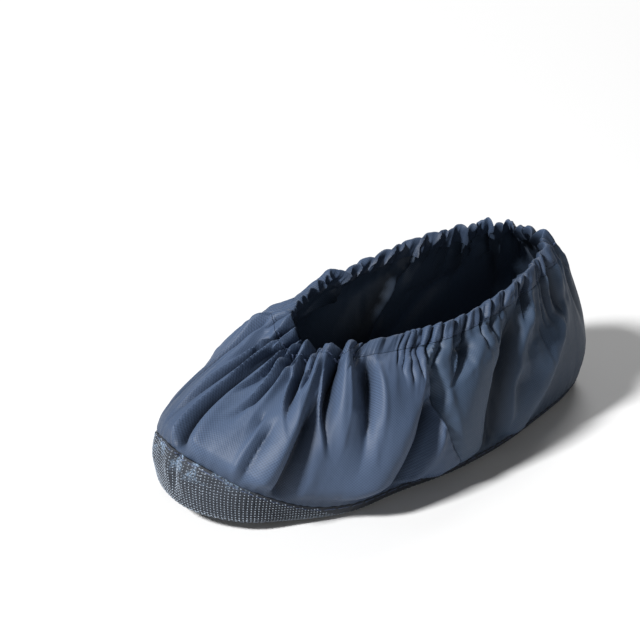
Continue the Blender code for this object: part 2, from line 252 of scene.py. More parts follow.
def wall_point(around, height):
    """Smooth wall, without folds, at even spacing from its foot to the opening."""
    controls = section_controls(around)
    lengths = wall_lengths(controls)
    goal = lengths[-1] * height
    step = np.clip((lengths <= goal).sum(axis=0) - 1, 0, SECTION_STEPS - 1)[None]
    below = np.take_along_axis(lengths, step, axis=0)[0]
    above = np.take_along_axis(lengths, step + 1, axis=0)[0]
    t = (step[0] + (goal - below) / (above - below)) / SECTION_STEPS
    return cubic(controls, t)


# %% Directions on the wall
def wall_frame(around, height):
    """Outward and sideways directions of the smooth wall."""
    below = np.clip(height - NORMAL_PROBE, 0.0, 1.0)
    above = np.clip(height + NORMAL_PROBE, 0.0, 1.0)
    across = wall_point(around + NORMAL_PROBE, height) - wall_point(around - NORMAL_PROBE, height)
    up = wall_point(around, above) - wall_point(around, below)
    normal = np.cross(up, across)
    return tuple(way / np.linalg.norm(way, axis=-1, keepdims=True) for way in (normal, across))


def wall_normal(around, height):
    """Outward direction of the smooth wall."""
    return wall_frame(around, height)[0]


def section_length(around):
    """Length of the wall's section, from its foot to the opening."""
    return wall_lengths(section_controls(around))[-1]


for name, place in (("heel", 0.0), ("side", 0.25), ("toe", 0.5)):
    print(f"section at the {name}: {float(section_length(np.array(place))) * 1000:.0f} mm")

# %% [markdown]
# ## Seams
#
# The sole's cloth turns up round its edge and climbs over the toe, where it wears most. The
# upper is sewn from a front and a back piece, which meet in a slanted seam on each side. The
# lines of these seams are needed before the folds, because no fold crosses the sole's seam.

# %% Seam lines
SIDE_RIM = 0.002
TOE_RIM = 0.028
RIM_CENTRE = 0.515
RIM_SPREAD = 0.085
RIM_SHAPE = 2.5
CASING_HEIGHT = 0.012
SEAM_GAP = 0.0003
SEAM_FOOT = 0.260
SEAM_LEAN = 0.085
SEAM_BEND = 0.018
SEAM_ROUNDS = 4


def rim_length(around):
    """Length of wall that the sole's cloth climbs."""
    beside = np.abs(np.mod(around, 1.0) - RIM_CENTRE) / RIM_SPREAD
    return SIDE_RIM + TOE_RIM * np.exp(-(beside**RIM_SHAPE))


def height_between_pieces(around, share):
    """Height at a share of the way from the sole's rim to the casing."""
    length = section_length(around)
    low = (rim_length(around) + SEAM_GAP) / length
    high = 1.0 - (CASING_HEIGHT + SEAM_GAP) / length
    return low + (high - low) * share


def side_seam(share, side):
    """Place around of the side seam: side 0 is the outer seam, side 1 the inner one."""
    height = share
    for _ in range(SEAM_ROUNDS):
        seam = SEAM_FOOT + SEAM_LEAN * height - SEAM_BEND * height**2
        around = np.abs(side - seam)
        height = height_between_pieces(around, share)
    return around


print(f"sole climbs {float(rim_length(np.array(RIM_CENTRE))) * 1000:.0f} mm over the toe")

# %% [markdown]
# ## Folds
#
# The opening is a third smaller round than the cloth, so the slack falls in long folds from
# the elastic. A fold is a line from its upper end over its middle to its lower end, with a
# profile across it. Ridges are round and valleys are tight, as in real cloth, and "lean"
# makes one flank steeper than the other and lets it hang over a little. The cloth swells into
# a lip on both sides of a valley. A cloth simulation would fold it too, but in other places.

# %% Long folds
# Place around at the upper end, middle and lower end, heights of both ends, relief in mm
# (below 0 is a valley), half breadth as a share of the way around, lean of the profile.
FOLDS = (
    # over the toe
    (0.600, 0.590, 0.568, 1.00, 0.34, 3.5, 0.0080, 0.00),
    (0.588, 0.577, 0.551, 0.98, 0.26, -9.5, 0.0052, 0.30),
    (0.590, 0.553, 0.548, 0.96, 0.24, 4.5, 0.0060, -0.30),
    (0.553, 0.542, 0.536, 1.00, 0.22, -11.5, 0.0050, 0.30),
    (0.535, 0.537, 0.534, 1.00, 0.20, 5.5, 0.0065, -0.35),
    (0.527, 0.518, 0.500, 1.00, 0.05, -12.5, 0.0050, 0.30),
    (0.514, 0.503, 0.493, 1.00, 0.05, 5.0, 0.0140, 0.00),
    (0.541, 0.530, 0.524, 1.00, 0.46, -5.0, 0.0032, 0.30),
    (0.517, 0.502, 0.505, 1.00, 0.50, -5.5, 0.0034, 0.30),
    (0.472, 0.447, 0.452, 1.00, 0.52, -6.0, 0.0036, 0.30),
    (0.508, 0.486, 0.494, 1.00, 0.38, -11.5, 0.0050, 0.30),
    (0.497, 0.474, 0.483, 1.00, 0.26, 5.5, 0.0065, -0.35),
    (0.487, 0.458, 0.436, 1.00, 0.38, -11.0, 0.0044, 0.40),
    (0.452, 0.454, 0.462, 0.54, 0.05, -5.5, 0.0055, 0.35),
    (0.455, 0.437, 0.458, 1.00, 0.05, 8.0, 0.0068, -0.45),
    (0.430, 0.423, 0.440, 0.68, 0.05, -6.0, 0.0065, 0.35),
    # outer side of the toes and ball
    (0.441, 0.413, 0.389, 1.00, 0.27, -13.8, 0.0066, 0.35),
    (0.428, 0.389, 0.393, 1.00, 0.20, 7.5, 0.0075, -0.45),
    (0.392, 0.367, 0.377, 0.94, 0.17, -10.8, 0.0074, -0.25),
    (0.372, 0.354, 0.368, 0.94, 0.12, 4.0, 0.0100, 0.00),
    (0.326, 0.329, 0.364, 0.94, 0.05, 8.5, 0.0105, -0.50),
    # round the side seam
    (0.301, 0.314, 0.340, 0.62, 0.02, -12.5, 0.0105, -0.35),
    (0.300, 0.296, 0.294, 0.46, 0.02, 3.5, 0.0080, -0.30),
    (0.321, 0.293, 0.270, 0.88, 0.06, -6.5, 0.0046, 0.40),
    (0.296, 0.288, 0.290, 1.00, 0.54, 7.9, 0.0100, -0.40),
    (0.271, 0.273, 0.290, 0.84, 0.56, -10.1, 0.0060, 0.50),
    (0.205, 0.246, 0.252, 0.90, 0.02, 9.5, 0.0240, -0.55),
    # side and heel
    (0.176, 0.212, 0.218, 0.90, 0.00, -11.5, 0.0175, -0.40),
    (0.180, 0.186, 0.206, 0.50, 0.03, -4.5, 0.0140, 0.30),
    (0.172, 0.172, 0.173, 0.98, 0.66, -6.5, 0.0050, 0.50),
    (0.160, 0.164, 0.168, 0.86, 0.52, 5.5, 0.0080, -0.30),
    (0.085, 0.146, 0.196, 0.68, 0.03, 8.0, 0.0150, -0.30),
    (0.128, 0.124, 0.118, 1.00, 0.52, -3.4, 0.0055, 0.0),
    (0.105, 0.100, 0.095, 1.00, 0.40, -5.5, 0.0085, 0.0),
    (0.083, 0.079, 0.074, 1.00, 0.55, 2.6, 0.0070, 0.0),
    (0.062, 0.055, 0.048, 1.00, 0.30, -5.0, 0.0085, 0.2),
    (0.040, 0.036, 0.030, 1.00, 0.50, 2.4, 0.0070, 0.0),
    (0.018, 0.012, 0.010, 1.00, 0.35, -5.2, 0.0080, 0.0),
)
INNER_SIDE_RELIEF = 0.9
MIRRORED_BELOW = 0.40
LOWER_FADE = 0.80
TAPER = 0.50
SOLE_TAPER = -0.15
REACHES_SOLE = 0.055
SOLE_FADE = 0.15
UPPER_FADE = 0.30
RIDGE_SOFTNESS = 1.1
VALLEY_SOFTNESS = 0.20
FOLD_FALL = 1.25
FOLD_SWAY = 1.3
SWAY_LIMIT = 0.50
SWAY_AT_FOOT = 1.15
SWAY_LOSS = 0.60
LIP = 0.26
LIP_PLACE = 1.9
LIP_BREADTH = 0.7


# %% Fold fields
def inner_side_folds():
    """The side and heel folds again on the inner side, a little shallower."""
    rows = []
    for upper, middle, lower, start, end, relief, breadth, lean in FOLDS:
        if middle < MIRRORED_BELOW:
            places = (1.0 - upper, 1.0 - middle, 1.0 - lower)
            rows.append((*places, start, end, relief * INNER_SIDE_RELIEF, breadth, -lean))
    return tuple(rows)


def fold_fields(rows, around, height):
    """Relief and sideways sway of all the folds in the rows, in metres."""
    relief = np.zeros(around.shape)
    sway = np.zeros(around.shape)
    for upper, middle, lower, start, end, rise, breadth, lean in rows:
        t = np.clip((start - height) / (start - end), 0.0, 1.0)
        line = upper + (4 * middle - 3 * upper - lower) * t + 2 * (upper + lower - 2 * middle) * t**2
        taper = TAPER if end > REACHES_SOLE else SOLE_TAPER
        aside = (np.mod(around - line + 0.5, 1.0) - 0.5) / (breadth * (1.0 - taper * t))
        aside = aside * (1.0 + lean * np.sign(aside))
        soft = RIDGE_SOFTNESS if rise > 0 else VALLEY_SOFTNESS
        profile = np.exp(FOLD_FALL * (soft - np.sqrt(aside**2 + soft**2)))
        if rise < 0:
            profile -= LIP * np.exp(-(((np.abs(aside) - LIP_PLACE) / LIP_BREADTH) ** 2))
        lower_fade = LOWER_FADE if end > REACHES_SOLE else SOLE_FADE
        ends = smooth_step((height - end) / (lower_fade * (start - end)))
        if start < 1.0:
            ends = ends * smooth_step((start - height) / (UPPER_FADE * (start - end)))
        relief += rise * MM * ends * profile
        sway += lean * min(FOLD_SWAY * abs(rise) * MM, SWAY_LIMIT * breadth) * ends * profile
    return relief, sway * (SWAY_AT_FOOT - SWAY_LOSS * height)


print("long folds:", len(FOLDS), "and", len(inner_side_folds()), "on the inner side")

# %% [markdown]
# ## Wrinkles
#
# Between the long folds lie many small ones. No two are alike, so they are drawn at random
# from a fixed seed, and they follow the drift of the long folds beside them.

# %% Small wrinkles
WRINKLE_SEED = 7
WRINKLES = 240
WRINKLE_RELIEF = (0.4, 2.1)
WRINKLE_BREADTH = (0.0016, 0.0042)
WRINKLE_REACH = (0.08, 0.55)
WRINKLE_SIGNS = (-1.0, 0.7)
WRINKLE_LEAN = 0.3
WRINKLE_STRAY = 0.006
FROM_OPENING = 0.7
LOWER_STARTS = (0.55, 0.95)

# Place around at the opening, and how far a fold from there has moved at the sole's seam.
DRIFT_ROWS = (
    (0.000, 0.000), (0.100, -0.005), (0.200, -0.010), (0.270, -0.020), (0.300, 0.000),
    (0.330, 0.012), (0.360, -0.005), (0.390, -0.028), (0.430, -0.035), (0.470, -0.020),
    (0.500, -0.012), (0.560, -0.020), (0.600, -0.010), (0.620, 0.030), (0.680, -0.010),
    (0.700, 0.000), (0.730, 0.020), (0.800, 0.010), (0.900, 0.005), (1.000, 0.000),
)


def drawn_wrinkles():
    """Rows for small folds, in the same columns as the long ones."""
    draw = np.random.default_rng(WRINKLE_SEED)
    rows = []
    for number in range(WRINKLES):
        upper = (number + draw.uniform(0.0, 1.0)) / WRINKLES
        start = 1.0 if draw.uniform() < FROM_OPENING else draw.uniform(*LOWER_STARTS)
        end = start - draw.uniform(*WRINKLE_REACH)
        drift = np.interp(upper, *zip(*DRIFT_ROWS)) + draw.uniform(-WRINKLE_STRAY, WRINKLE_STRAY)
        places = [upper + drift * (1.0 - at) for at in (start, (start + end) / 2, end)]
        rise = draw.choice(WRINKLE_SIGNS) * draw.uniform(*WRINKLE_RELIEF)
        breadth = draw.uniform(*WRINKLE_BREADTH)
        rows.append((*places, start, end, rise, breadth, draw.uniform(-WRINKLE_LEAN, WRINKLE_LEAN)))
    return tuple(rows)


# %% Soft noise
def soft_noise(around, height, cells, seed):
    """Smooth random values between -1 and 1 on a net of cells (around, up)."""
    columns, rows = cells
    net = np.random.default_rng(seed).uniform(-1.0, 1.0, (columns, rows + 2))
    x, y = np.mod(around, 1.0) * columns, np.clip(height, 0.0, 1.0) * rows
    column, row = np.floor(x).astype(int), np.floor(y).astype(int)
    across, up = smooth_step(x - column), smooth_step(y - row)
    left, right = column % columns, (column + 1) % columns
    low = net[left, row] * (1 - across) + net[right, row] * across
    high = net[left, row + 1] * (1 - across) + net[right, row + 1] * across
    return low * (1 - up) + high * up


ALL_FOLDS = FOLDS + inner_side_folds() + drawn_wrinkles()
print("folds and wrinkles:", len(ALL_FOLDS))

# %% [markdown]
# ## Gathers
#
# The elastic bunches the casing into puffs with tight pinches between them. They aren't even:
# some stretches are packed and one on the outer side is nearly smooth. The table gives each
# stretch its number of puffs, and every puff its own size from a fixed seed.

# %% Gathers of the opening
GATHER_DEPTH = 4.8
GATHER_SQUEEZE = 0.8
GATHER_WANDER = 0.004
PUFF_ROUNDNESS = 0.6
PUFF_LUMPS = 0.30
GATHER_REACH = 0.11
GATHER_SEED = 3
PUFF_SHIFT = 0.3
PUFF_SIZES = (0.45, 1.35)
PUFF_REACHES = (0.6, 2.0)
PUFF_LEVEL = 0.62

# Stretch of the opening (from, to), number of puffs, depth as a share of the full depth.
GATHER_ROWS = (
    (0.000, 0.100, 5, 0.9), (0.100, 0.225, 6, 0.9), (0.225, 0.315, 5, 1.0),
    (0.315, 0.350, 4, 1.1), (0.350, 0.400, 1, 0.3), (0.400, 0.500, 6, 1.0),
    (0.500, 0.600, 7, 1.0), (0.600, 0.800, 10, 1.0), (0.800, 1.000, 9, 1.0),
)
GATHERS = sum(row[2] for row in GATHER_ROWS)


# %% Gather fields
def gather_puffs(around):
    """Share of the way across the puff at a place, its depth share and its reach."""
    starts, ends, puffs, depths = np.array(GATHER_ROWS).T
    place = np.mod(around, 1.0)
    phase = np.interp(place, [0.0, *ends], [0.0, *np.cumsum(puffs)])
    draw = np.random.default_rng(GATHER_SEED)
    shift = np.append(draw.uniform(-PUFF_SHIFT, PUFF_SHIFT, GATHERS), 0.0)
    shift[0] = 0.0
    whole = np.arange(GATHERS + 1)
    phase = np.interp(phase, whole + shift, whole)
    size, reach = (
        np.interp(phase, whole[:-1] + 0.5, draw.uniform(*span, GATHERS), period=GATHERS)
        for span in (PUFF_SIZES, PUFF_REACHES)
    )
    stretch = np.interp(place, (starts + ends) / 2, depths, period=1.0)
    return phase - np.floor(phase), size * stretch, GATHER_REACH * reach


def gather_fields(around, height):
    """Relief and sideways squeeze of the puffs, running out into the cloth below, in metres."""
    wander = GATHER_WANDER * soft_noise(around, height, (64, 12), 14)
    across, size, reach = gather_puffs(around + wander)
    puff = np.sin(np.pi * across) ** PUFF_ROUNDNESS - PUFF_LEVEL
    lumps = 1.0 + PUFF_LUMPS * soft_noise(around, height, (130, 30), 15)
    fade = smooth_step((height - 1.0 + 2.0 * reach) / reach)
    return (
        GATHER_DEPTH * MM * size * puff * lumps * fade,
        -GATHER_SQUEEZE * MM * size * np.sin(2 * np.pi * across) * fade,
    )


print("puffs round the opening:", GATHERS)

# %% [markdown]
# ## The skin of the cloth
#
# The relief of folds, wrinkles and gathers is added along the normal of the smooth form. It
# dies away at the sole's seam, where the stiffer sole holds the cloth, and it calms down
# under the elastic.

# %% Cloth surface
RIM_FADE = 0.085
CASING_CALM = 0.35
CALM_START = 0.80
DRAPE = 0.55
CREASE = 0.16


def cloth_shift(around, height):
    """Distance of the cloth's outer skin from the smooth form, outwards and sideways."""
    rim = rim_length(around) / section_length(around)
    calm = 1.0 - CASING_CALM * smooth_step((height - CALM_START) / (1.0 - CALM_START))
    folds, sway = fold_fields(ALL_FOLDS, around, height)
    puffs, squeeze = gather_fields(around, height)
    relief = folds * calm + puffs
    relief += DRAPE * MM * soft_noise(around, height, (36, 5), 11)
    relief += CREASE * MM * soft_noise(around, height, (150, 9), 12)
    held = smooth_step((height - rim) / RIM_FADE)
    return relief * held, (sway * calm + squeeze) * held


def cloth_point(around, height):
    """Outer skin of the cloth."""
    out, aside = wall_frame(around, height)
    relief, sway = cloth_shift(around, height)
    return wall_point(around, height) + out * relief[..., None] + aside * sway[..., None]


# %% [markdown]
# ## From shares to a mesh
#
# Every cloth piece starts as a flat grid, which is extruded one cell deep. Its points then
# move to their places on the overshoe. The grid's own coordinates are kept as a UV map in
# metres of flat cloth, so that the weave bunches up with the gathers as real cloth does.

# %% Piece builder
CLOTH_ROUND = 0.75
CLOTH_UP = 0.115
WELD = 0.000002
SHARP_EDGE = np.radians(50)
ROUND = np.linspace(0.0, 1.0, 721)

cad_low, cad_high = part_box("sole")
edges = [edge_point(ROUND, turn) for turn in np.linspace(0.0, 1.0, 9)]
edges.append(wall_point(ROUND, rim_length(ROUND) / section_length(ROUND)))
own_low, own_high = (way(np.concatenate(edges)[:, :2], axis=0) for way in (np.min, np.max))
PLACE = np.append((np.array(cad_low)[:2] + np.array(cad_high)[:2] - own_low - own_high) / 2, 0.0)
print("the frame's origin is moved by", np.round(PLACE * 1000, 2), "mm")


# %% From grid to piece
def flat_cloth(around, height):
    """Coordinates of a place on the upper's flat cloth."""
    return np.stack([around * CLOTH_ROUND, height * CLOTH_UP], axis=-1)


def cloth_piece(name, rows, columns, place, joined=()):
    """A block of one cell's depth, laid out by place(share up, share across, depth).

    "joined" names the block's sides, by the direction they face, that are left open and
    welded, because two sides of the piece meet there. place also gives the flat cloth's
    coordinates for the weave, and the relief, by which the valleys are shaded.
    """
    shape = bmesh.new()
    bmesh.ops.create_grid(shape, x_segments=rows, y_segments=columns, size=0.5)
    inner = bmesh.ops.extrude_face_region(shape, geom=shape.faces[:], use_keep_orig=True)
    lowered = [part for part in inner["geom"] if isinstance(part, bmesh.types.BMVert)]
    bmesh.ops.translate(shape, verts=lowered, vec=(0.0, 0.0, -1.0))
    bmesh.ops.recalc_face_normals(shape, faces=shape.faces[:])
    sides = [face for face in shape.faces if any(face.normal.dot(way) > 0.5 for way in joined)]
    bmesh.ops.delete(shape, geom=sides, context="FACES_ONLY")
    shape.verts.ensure_lookup_table()
    shares = np.array([vertex.co for vertex in shape.verts]) + (0.5, 0.5, 0.0)
    points, flat, relief = place(shares[:, 0], shares[:, 1], -shares[:, 2])
    depth = shape.verts.layers.float.new("relief")
    for vertex, point, rise in zip(shape.verts, points + PLACE, relief):
        vertex.co = point
        vertex[depth] = rise
    shape.verts.index_update()
    weave = shape.loops.layers.uv.new("cloth")
    for face in shape.faces:
        for corner in face.loops:
            corner[weave].uv = flat[corner.vert.index]
    bmesh.ops.remove_doubles(shape, verts=shape.verts, dist=WELD)
    return finished(name, shape)


def finished(name, shape):
    """The bmesh as an object of the scene, shaded smooth with its sharp edges kept."""
    mesh = bpy.data.meshes.new(name)
    shape.to_mesh(mesh)
    shape.free()
    mesh.shade_smooth()
    mesh.set_sharp_from_angle(angle=SHARP_EDGE)
    item = bpy.data.objects.new(name, mesh)
    bpy.context.collection.objects.link(item)
    print(name, "has", sum(len(face.vertices) - 2 for face in mesh.polygons), "triangles")
    return item


# %% [markdown]
# ## Front and back of the upper
#
# Both are thin nylon. Their edges tuck in at the seams, and the thread draws up little
# puckers along them, which tell the eye that the seam is sewn.

# %% Upper pieces
UPPER_CLOTH = 0.0014
TUCK_DEPTH = 0.0005
TUCK_REACH = 0.0012
CASING_TUCK = 0.3
PUCKER_DEPTH = 0.00022
PUCKER_PITCH = 0.0064
PUCKER_REACH = 0.0060
PUCKER_WANDER = 3.0
FINE_SHADE = 3.0


def upper_place(share, across, start, end, depth):
    """Places and flat coordinates of an upper piece that spans from one seam to the other."""
    around = start + (end - start) * across
    height = height_between_pieces(around, share)
    length = section_length(around)
    to_sole = height * length - rim_length(around)
    to_casing = (1.0 - height) * length - CASING_HEIGHT
    to_side = np.minimum(across, 1.0 - across) * (end - start) * CLOTH_ROUND
    tuck = sum(np.exp(-((far / TUCK_REACH) ** 2)) for far in (to_sole, to_side))
    tuck += CASING_TUCK * np.exp(-((to_casing / TUCK_REACH) ** 2))
    flat = flat_cloth(around, height)
    wander = PUCKER_WANDER * soft_noise(around, height, (90, 3), 21)
    puckers = sum(
        np.sin(2 * np.pi * flat[..., axis] / PUCKER_PITCH + wander) * np.exp(-far / PUCKER_REACH)
        for axis, far in enumerate((to_sole, to_side))
    )
    fine = PUCKER_DEPTH * puckers - TUCK_DEPTH * tuck
    lift = wall_normal(around, height) * (fine - UPPER_CLOTH * depth)[..., None]
    # The relief given back is painted into the nylon's colour as shade; the tucks and puckers count
    # FINE_SHADE times in it.
    relief = cloth_shift(around, height)[0] + FINE_SHADE * fine
    return cloth_point(around, height) + lift, flat, relief


def seam_clearance():
    """Half of the gap at a side seam, as a share of the way around both sides."""
    return SEAM_GAP / 2 / (2 * TREAD_LENGTH)


def front_place(share, across, depth):
    """Front upper: from the outer seam over the toe to the inner seam."""
    start, end = side_seam(share, 0) + seam_clearance(), side_seam(share, 1) - seam_clearance()
    return upper_place(share, across, start, end, depth)


def heel_place(share, across, depth):
    """Heel upper: from the inner seam round the heel to the outer seam."""
    start, end = side_seam(share, 1) + seam_clearance() - 1.0, side_seam(share, 0) - seam_clearance()
    return upper_place(share, across, start, end, depth)


front_cloth = cloth_piece("front_cloth", 124, 360, front_place)
heel_cloth = cloth_piece("heel_cloth", 124, 330, heel_place)

# %% [markdown]
# ## Elastic casing
#
# The casing is the upper's own edge, folded over the elastic and sewn down. It is a flat
# tube with a rounded top edge, scalloped by the puffs. It could be a bevelled curve, but a grid
# takes the same puffs as the cloth below it.

# %% Casing
CASING_DEPTH = 0.0036
CASING_ROWS = 14
CASING_COLUMNS = 1080
ROUNDED_FROM = 0.62
CASING_SWELL = 0.0003
INNER_PUFFS = 0.5
SCALLOP = 0.0015
TOP_ROUNDING = 0.46
NEARLY_SHUT = 0.999
INNER_SWELL = 0.3


def casing_place(share, around, depth):
    """Places and flat coordinates of the casing; depth 0 is its outer face."""
    up = np.sin(share * np.pi / 2)
    length = section_length(around)
    height = 1.0 - CASING_HEIGHT * (1.0 - up) / length
    closing = np.clip((up - ROUNDED_FROM) / (1.0 - ROUNDED_FROM), 0.0, 1.0)
    arch = 1.0 - np.sqrt(1.0 - np.clip(closing, 0.0, NEARLY_SHUT) ** 2)
    rounding = TOP_ROUNDING * CASING_DEPTH * arch
    tuck = CASING_TUCK * TUCK_DEPTH * np.exp(-((CASING_HEIGHT * up / TUCK_REACH) ** 2))
    swell = CASING_SWELL * np.sin(np.pi * np.clip(up / ROUNDED_FROM, 0.0, 1.0))
    outer = rounding + tuck - swell
    inner = CASING_DEPTH - rounding + INNER_SWELL * swell
    normal = wall_normal(around, height)
    inner = inner + (1.0 - INNER_PUFFS) * gather_fields(around, height)[0] * (1.0 - up**4)
    skin = cloth_point(around, height) - normal * (outer + (inner - outer) * depth)[..., None]
    across, size, _ = gather_puffs(around)
    skin[..., 2] += SCALLOP * size * (np.sin(np.pi * across) - 0.5) * up**2
    return skin, flat_cloth(around, height), cloth_shift(around, height)[0]


# The first and last columns of a piece that runs all round meet.
RING = [(0, -1, 0), (0, 1, 0)]
casing = cloth_piece("elastic_casing", CASING_ROWS, CASING_COLUMNS, casing_place, RING)

# %% [markdown]
# ## Sole
#
# The sole is one piece of heavier cloth: flat under the foot, rounded at its edge, and
# climbing the toe. Its grid runs out from the middle line of the tread, so the two halves
# are welded along that line.

# %% Sole cloth
SOLE_CLOTH = 0.0020
SPINE_MARGIN = 0.16
TREAD_STEPS = 10
TURN_STEPS = 6
CLIMB_STEPS = 20
SOLE_COLUMNS = 640
RIM_RELIEF = 0.7
SOLE_EDGE_TUCK = 0.0004

# Creases of the toe rim, in the folds' own columns; heights are shares of the rim.
RIM_CREASES = (
    (0.5075, 0.5070, 0.5080, 1.01, -0.40, -3.6, 0.0036, 0.3),
    (0.5160, 0.5150, 0.5150, 1.00, 0.20, 1.8, 0.0050, 0.0),
    (0.4980, 0.4990, 0.5010, 1.00, 0.30, 1.6, 0.0050, 0.0),
    (0.5400, 0.5380, 0.5360, 1.00, 0.30, -0.9, 0.0040, 0.0),
    (0.4860, 0.4900, 0.4930, 1.00, 0.25, 0.8, 0.0060, 0.0),
    (0.4700, 0.4720, 0.4740, 1.00, 0.35, -0.7, 0.0040, 0.0),
    (0.5650, 0.5640, 0.5600, 1.00, 0.30, -0.8, 0.0050, 0.0),
)


# %% Sole surface
def rim_relief(around, share):
    """Creases and unevenness of the rim, at a share of the way up it, in metres."""
    uneven = RIM_RELIEF * MM * soft_noise(around, share, (48, 2), 31)
    hold = smooth_step(share / 0.5) * rim_length(around) / (SIDE_RIM + TOE_RIM)
    return (uneven + fold_fields(RIM_CREASES, around, share)[0]) * hold


def sole_place(share, around, depth):
    """Places and flat coordinates of the sole's cloth; depth 0 is its outer face."""
    row = np.rint(share * (TREAD_STEPS + TURN_STEPS + CLIMB_STEPS)).astype(int)
    out = np.clip(row / TREAD_STEPS, 0.0, 1.0)
    turn = np.clip((row - TREAD_STEPS) / TURN_STEPS, 0.0, 1.0)
    climb = np.clip((row - TREAD_STEPS - TURN_STEPS) / CLIMB_STEPS, 0.0, 1.0)
    outline = tread_point(around)
    spine = np.zeros(outline.shape)
    end = TREAD_LENGTH * (0.5 - SPINE_MARGIN)
    middle = (outline[..., 1] + tread_point(1.0 - around)[..., 1]) / 2
    spine[..., 1] = np.clip(middle, -end, end)
    level = spine + (outline - spine) * out[..., None]
    tread = np.concatenate([level, spring(level[..., 1])[..., None]], axis=-1)
    edge = edge_point(around, turn) - edge_point(around, np.zeros(around.shape))
    rim = climb * rim_length(around) / section_length(around)
    climbs = (climb > 0.0)[..., None]
    angle = edge_angle(around) * turn
    turned = tread_normal(around) * np.sin(angle)[..., None] - UP * np.cos(angle)[..., None]
    normal = np.where(climbs, wall_normal(around, rim), turned)
    point = np.where(climbs, wall_point(around, rim), tread + edge)
    to_seam = (1.0 - climb) * rim_length(around)
    tuck = SOLE_EDGE_TUCK * np.exp(-((to_seam / TUCK_REACH) ** 2)) * (climb > 0.0)
    relief = rim_relief(around, climb) - tuck - SOLE_CLOTH * depth
    up = EDGE_RADIUS * angle + climb * rim_length(around)
    flat = np.stack([around * TREAD_ROUND, up], axis=-1)
    return point + normal * relief[..., None], flat, relief


sole_rows = TREAD_STEPS + TURN_STEPS + CLIMB_STEPS
sole_cloth = cloth_piece("sole_cloth", sole_rows, SOLE_COLUMNS, sole_place, [*RING, (-1, 0, 0)])

# %% [markdown]
# ## Grip dots
#
# Small rubber dots are printed on the sole's cloth in a square net. There are thousands, so
# one low-sided dot is made and doubled again and again, and then all are set in place.

# %% Dot and pattern tools
DOT_PITCH = 0.0018
DOT_RADIUS = 0.00044
DOT_TOP = 0.55
DOT_RISE = 0.00030
DOT_SINK = 0.00010
DOT_SIDES = 6
TREAD_MARGIN = 0.0012
RIM_MARGIN = 0.0008
DOTTED_RIM = 0.0045
BARE_RIM = 0.0022
BARE_TURN = -0.45


def scattered(name, pattern, origins, turns):
    """Copies of the pattern's bmesh, one for each origin and 3 x 3 turn, as one object."""
    local = np.array([vertex.co for vertex in pattern.verts])
    made = 1
    while made < len(origins):
        bmesh.ops.duplicate(pattern, geom=[*pattern.verts, *pattern.faces])
        made *= 2
    spare = pattern.verts[len(local) * len(origins):]
    bmesh.ops.delete(pattern, geom=spare, context="VERTS")
    points = origins[:, None, :] + np.einsum("nij,vj->nvi", turns, local)
    for vertex, point in zip(pattern.verts, points.reshape(-1, 3) + PLACE):
        vertex.co = point
    return finished(name, pattern)


def dot():
    """One dot: a low cone without its tip, sunk a little into the cloth."""
    shape = bmesh.new()
    bmesh.ops.create_cone(
        shape, cap_ends=True, segments=DOT_SIDES, radius1=DOT_RADIUS, radius2=DOT_TOP * DOT_RADIUS,
        depth=DOT_RISE + DOT_SINK, matrix=Matrix.Translation((0.0, 0.0, (DOT_RISE - DOT_SINK) / 2)),
    )
    return shape


def turns_for(up, across):
    """3 x 3 turns whose third axis is up and whose first is near across."""
    first = across - up * (across * up).sum(axis=-1, keepdims=True)
    first /= np.linalg.norm(first, axis=-1, keepdims=True)
    return np.stack([first, np.cross(up, first), up], axis=-1)


# %% Dots under the foot
def inside_tread(points):
    """Which points lie inside the tread's outline, by more than the margin."""
    around = np.linspace(0.0, 1.0, 361)
    outline = tread_point(around) - tread_normal(around)[:, :2] * TREAD_MARGIN
    x, y = points[:, None, 0], points[:, None, 1]
    ax, ay = outline[:-1, 0], outline[:-1, 1]
    bx, by = outline[1:, 0], outline[1:, 1]
    spans = (ay > y) != (by > y)
    cut = ax + (y - ay) / np.where(by == ay, 1.0, by - ay) * (bx - ax)
    return (spans & (x < cut)).sum(axis=1) % 2 == 1


steps = np.arange(-84, 85) * DOT_PITCH
net = np.stack(np.meshgrid(steps, steps), axis=-1).reshape(-1, 2)
net = net[inside_tread(net)]
floor_dots = np.column_stack([net, spring(net[:, 1])])
facing = np.tile((0.0, 0.0, -1.0), (len(net), 1))
across = np.tile((1.0, 0.0, 0.0), (len(net), 1))
tread_dots = scattered("tread_dots", dot(), floor_dots, turns_for(facing, across))

# %% Dots on the rim
dots_round = int(TREAD_ROUND / DOT_PITCH)
columns = np.arange(dots_round) / dots_round
levels = np.arange(1, 24) * DOT_PITCH
column, level = (part.ravel() for part in np.meshgrid(columns, levels))
turned = EDGE_RADIUS * edge_angle(column)
turn_share = np.clip(level / turned, 0.0, 1.0)
climbed = level - turned
thinning = smooth_step((rim_length(column) - BARE_RIM) / (DOTTED_RIM - BARE_RIM))
dotted = BARE_TURN * turned * (1.0 - thinning) + (rim_length(column) - RIM_MARGIN) * thinning
keep = level < turned + dotted
column, turn_share, climbed = column[keep], turn_share[keep], climbed[keep]
climb_share = np.clip(climbed, 0.0, None) / rim_length(column)
rim_height = np.clip(climbed, 0.0, None) / section_length(column)
angle = edge_angle(column) * turn_share
lean = tread_normal(column) * np.sin(angle)[:, None] - UP * np.cos(angle)[:, None]
up = np.where((climbed > 0.0)[:, None], wall_normal(column, rim_height), lean)
edge = edge_point(column, turn_share)
spot = np.where((climbed > 0.0)[:, None], wall_point(column, rim_height), edge)
spot = spot + up * rim_relief(column, climb_share)[:, None]
ahead = tread_point(column + OUTLINE_PROBE) - tread_point(column - OUTLINE_PROBE)
ahead = np.column_stack([ahead, np.zeros(len(ahead))])
rim_dots = scattered("rim_dots", dot(), spot, turns_for(up, ahead))
print("dots:", len(net), "under the foot and", len(column), "on the rim")

